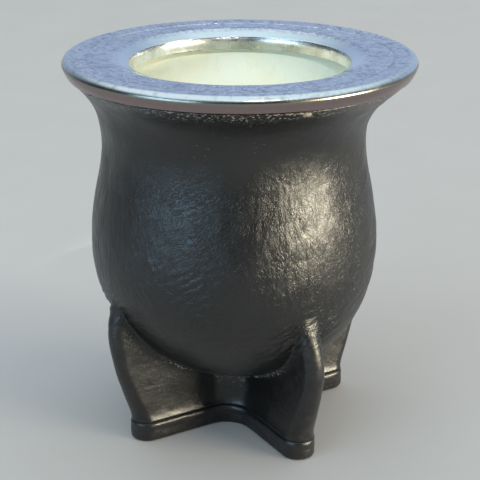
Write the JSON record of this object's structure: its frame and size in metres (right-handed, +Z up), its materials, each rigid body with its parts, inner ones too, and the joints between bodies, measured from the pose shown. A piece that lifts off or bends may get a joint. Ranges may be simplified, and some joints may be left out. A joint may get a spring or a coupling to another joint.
{
  "type": "mate cup",
  "caption": "Gourd drinking cup in a black leather cover, on pinched leather legs with a cross-shaped sole, with a flat metal collar round its mouth.",
  "frame": {"origin": "middle of the sole's flat underside, on the collar's axis", "axes": "+Z up out of the mouth; the legs lie on the XY diagonals; the seam is at the back, +Y"},
  "size_m": [0.0958, 0.0958, 0.1075],
  "materials": {
    "cover_leather": "semi-gloss black, pebbled and creased",
    "sole_leather": "black, rounded and burnished edge",
    "gourd": "matte dried gourd, pale inside",
    "collar_metal": "satin white metal, scuffed",
    "bedding": "hard resin",
    "raw_leather": "undyed, fibrous",
    "thread": "waxed"
  },
  "bodies": {
    "root": {"leather_cover": "cover_leather", "cross_sole": "sole_leather", "gourd_shell": "gourd", "collar_top_plate": "collar_metal", "collar_rim_band": "collar_metal", "collar_throat": "collar_metal", "collar_bedding": "bedding", "base_block": "raw_leather", "seam_thread": "thread", "leg_core_back_right": "raw_leather", "leg_core_back_left": "raw_leather", "leg_core_front_left": "raw_leather", "leg_core_front_right": "raw_leather"}
  },
  "joints": []
}
